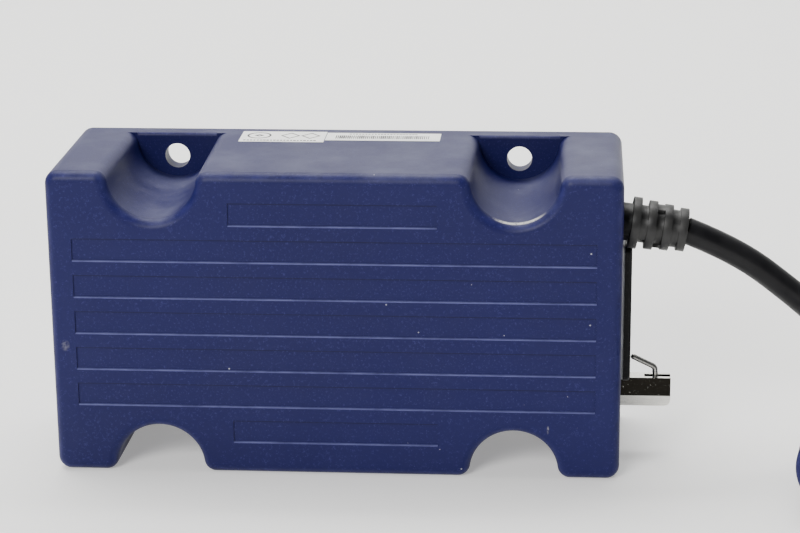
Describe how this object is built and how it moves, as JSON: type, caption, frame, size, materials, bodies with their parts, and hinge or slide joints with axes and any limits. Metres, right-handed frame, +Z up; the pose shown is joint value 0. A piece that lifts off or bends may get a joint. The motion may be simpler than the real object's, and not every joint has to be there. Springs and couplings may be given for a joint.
{
  "type": "brake controller unit",
  "caption": "Sealed blue moulded electronics box with corner screw wells, an end socket with a wire latch, and a black supply cable in a strain relief.",
  "frame": {"origin": "under the middle of the box, on the long face that it stands on, halfway through its depth", "axes": "+X along the box towards its cable end, +Y from the banded front face to the mounting face, +Z up"},
  "size_m": [0.2834, 0.1228, 0.0771],
  "materials": {
    "housing_plastic": "fine spark-eroded grain, satin",
    "cover_plastic": "fine grain, satin",
    "seal_rubber": "matt",
    "pale_seal": "matt",
    "zinc_steel": "zinc plated",
    "black_steel": "black oxide",
    "board_laminate": "solder mask",
    "sink_aluminium": "extruded",
    "component_black": "moulded epoxy",
    "can_aluminium": "sleeved can",
    "relay_case": "satin",
    "ferrite": "fired",
    "winding_copper": "enamelled wire",
    "sensor_case": "plated lid",
    "shunt_metal": "rolled strip",
    "clip_metal": "tin plated",
    "fuse_glass": "clear",
    "connector_nylon": "natural",
    "core_insulation": "smooth",
    "clamp_nylon": "satin",
    "boot_rubber": "satin",
    "bezel_plastic": "satin",
    "contact_tin": "tin plated",
    "nickel_plate": "bright nickel",
    "spring_wire": "drawn",
    "cable_jacket": "smooth, slightly glossy",
    "tie_fabric": "hook and loop",
    "plug_plastic": "satin",
    "label_paper": "coated"
  },
  "bodies": {
    "controller": {"housing_shell": "housing_plastic", "back_cover": "cover_plastic", "cover_gasket": "seal_rubber", "cover_screws": "zinc_steel", "circuit_board": "board_laminate", "board_screws": "zinc_steel", "heat_sink": "sink_aluminium", "power_transistors": "component_black", "transistor_screws": "zinc_steel", "smoothing_capacitors": "can_aluminium", "control_relay": "relay_case", "choke_core": "ferrite", "choke_winding": "winding_copper", "controller_chip": "component_black", "motion_sensor": "sensor_case", "current_shunt": "shunt_metal", "fuse_clips": "clip_metal", "glass_fuse": "fuse_glass", "terminal_block": "connector_nylon", "cable_cores": "core_insulation", "cable_entry": "cable_jacket", "cable_clamp": "clamp_nylon", "clamp_screw": "zinc_steel", "strain_relief": "boot_rubber", "socket_gasket": "pale_seal", "socket_bezel": "bezel_plastic", "bezel_screws": "black_steel", "socket_insert": "bezel_plastic", "socket_contacts": "contact_tin", "latch_bar": "nickel_plate", "latch_screws": "zinc_steel", "latch_pin": "nickel_plate", "cable_run": "cable_jacket", "cable_coil": "cable_jacket", "coil_ties": "tie_fabric", "cable_tail": "cable_jacket", "plug_boot": "boot_rubber", "plug_shell": "plug_plastic", "plug_insert": "bezel_plastic", "plug_pins": "contact_tin", "approval_label": "label_paper", "barcode_label": "label_paper"},
    "wire_latch": {"wire_latch": "spring_wire"}
  },
  "joints": [
    {"name": "wire_latch_swing", "type": "hinge", "parent": "controller", "child": "wire_latch", "pos_m": [0.0806, 0, 0.0173], "axis": [0, 1, 0], "range_deg": [0, 140]}
  ]
}
